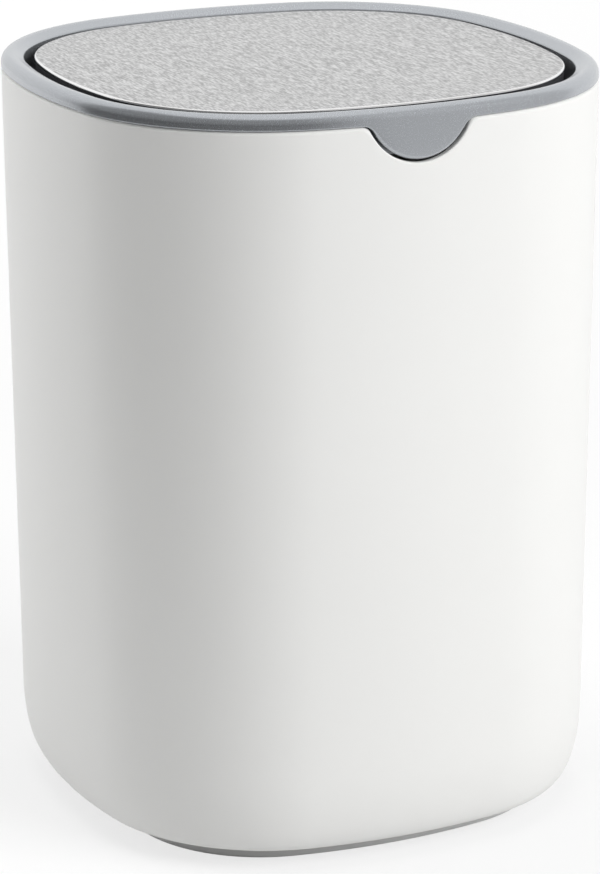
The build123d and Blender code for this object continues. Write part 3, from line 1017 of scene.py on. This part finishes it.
def make_floor():
    """A pale matt floor, whose shadows show softly and which is seen white away from the bin.

    The eye sees a weak matt share plus a glow that grows with the distance from the middle.
    """
    half = 4.0
    corners = np.array([(-half, -half, 0), (half, -half, 0), (half, half, 0), (-half, half, 0)])
    floor = new_piece("floor", corners, [(0, 1, 2, 3)])
    material, made, links, shader = new_material("floor_white")
    made.remove(shader)
    bounce = made.new("ShaderNodeBsdfDiffuse")
    bounce.inputs["Color"].default_value = (0.8, 0.8, 0.8, 1)
    shade = made.new("ShaderNodeBsdfDiffuse")
    shade.inputs["Color"].default_value = (0.24, 0.24, 0.24, 1)
    place = made.new("ShaderNodeTexCoord")
    distance = made.new("ShaderNodeVectorMath")
    distance.operation = "LENGTH"
    links.new(place.outputs["Object"], distance.inputs[0])
    fade = made.new("ShaderNodeMapRange")
    fade.inputs["From Min"].default_value = 0.4
    fade.inputs["From Max"].default_value = 3.0
    fade.inputs["To Min"].default_value = 0.72
    fade.inputs["To Max"].default_value = 1.0
    links.new(distance.outputs["Value"], fade.inputs["Value"])
    glow = made.new("ShaderNodeEmission")
    links.new(fade.outputs["Result"], glow.inputs["Strength"])
    seen = made.new("ShaderNodeAddShader")
    links.new(shade.outputs["BSDF"], seen.inputs[0])
    links.new(glow.outputs["Emission"], seen.inputs[1])
    both = for_the_eye(made, links, bounce.outputs["BSDF"], seen.outputs["Shader"])
    links.new(both, made["Material Output"].inputs["Surface"])
    floor.data.materials.append(material)


def set_camera(scene, stage):
    """The camera at its place, turned to its heading, tipped down and rolled."""
    lens = bpy.data.cameras.new("camera")
    lens.lens = stage.camera_lens
    lens.sensor_width = 36.0
    lens.clip_start = 0.05
    lens.clip_end = 30.0
    camera = bpy.data.objects.new("camera", lens)
    heading = Matrix.Rotation(-stage.camera_heading, 4, "Z")
    pitch = Matrix.Rotation(math.pi / 2 - stage.camera_pitch, 4, "X")
    roll = Matrix.Rotation(stage.camera_roll, 4, "Z")
    camera.matrix_world = Matrix.Translation(stage.camera_place) @ heading @ pitch @ roll
    scene.collection.objects.link(camera)
    scene.camera = camera


class TRASHBIN_OT_stage(bpy.types.Operator):
    """Set up the floor, the soft lamps, the white background, the cards of painted reflection and the
    camera
    """

    bl_idname = "trashbin.stage"
    bl_label = "Set up the stage"

    def execute(self, context):
        scene = context.scene
        stage = scene.trash_bin_stage
        scene.view_settings.view_transform = "Standard"
        set_background(scene, stage.room_light)
        make_floor()
        soft_lamp("right_lamp", (1.3, -1.86, 1.6), 1.6, stage.key_power)
        soft_lamp("left_lamp", (-1.57, 1.32, 0.9), 1.6, stage.side_power)
        soft_lamp("top_lamp", (0.0, 0.0, 1.9), 1.1, stage.top_power)
        soft_lamp("back_lamp", (-0.45, 1.9, 1.5), 0.9, stage.back_power)
        foot, shoulder, head = (0.55, 0.002), (0.5, 0.3), (0.28, 0.66)
        # Painted reflections: glowing cards that only reflections see. They are very dark low down from the
        # back left round to the front, dim above that, and grey at the front right.
        painted_reflection_card("dark_flag", 140, 276, foot, shoulder, brightness=0.02)
        painted_reflection_card("shade_flag", 140, 276, shoulder, head, brightness=0.2)
        painted_reflection_card("grey_flag", 276, 352, foot, head, brightness=0.62)
        set_camera(scene, stage)
        return {"FINISHED"}


class TRASHBIN_PT_sidebar(bpy.types.Panel):
    """Sizes, colours and steps of the trash bin."""

    bl_label = "Trash Bin"
    bl_idname = "TRASHBIN_PT_sidebar"
    bl_space_type = "VIEW_3D"
    bl_region_type = "UI"
    bl_category = "Trash Bin"

    def draw(self, context):
        layout = self.layout
        scene = context.scene
        for group in (scene.trash_bin_sizes, scene.trash_bin_finish, scene.trash_bin_stage):
            for name in group.__annotations__:
                layout.prop(group, name)
        layout.operator("trashbin.shell")
        layout.operator("trashbin.lid_frame")
        layout.operator("trashbin.plate")
        layout.operator("trashbin.finishes")
        layout.operator("trashbin.stage")


classes = (
    TrashBinSizes,
    TrashBinFinish,
    TrashBinStage,
    TRASHBIN_OT_shell,
    TRASHBIN_OT_lid_frame,
    TRASHBIN_OT_plate,
    TRASHBIN_OT_finishes,
    TRASHBIN_OT_stage,
    TRASHBIN_PT_sidebar,
)


def register():
    for kind in classes:
        bpy.utils.register_class(kind)
    bpy.types.Scene.trash_bin_sizes = PointerProperty(type=TrashBinSizes)
    bpy.types.Scene.trash_bin_finish = PointerProperty(type=TrashBinFinish)
    bpy.types.Scene.trash_bin_stage = PointerProperty(type=TrashBinStage)


def unregister():
    del bpy.types.Scene.trash_bin_stage
    del bpy.types.Scene.trash_bin_finish
    del bpy.types.Scene.trash_bin_sizes
    for kind in reversed(classes):
        bpy.utils.unregister_class(kind)


def main():
    register()
    bpy.ops.trashbin.shell()
    bpy.ops.trashbin.lid_frame()
    bpy.ops.trashbin.plate()
    bpy.ops.trashbin.finishes()
    bpy.ops.trashbin.stage()


if __name__ == "__main__":
    main()
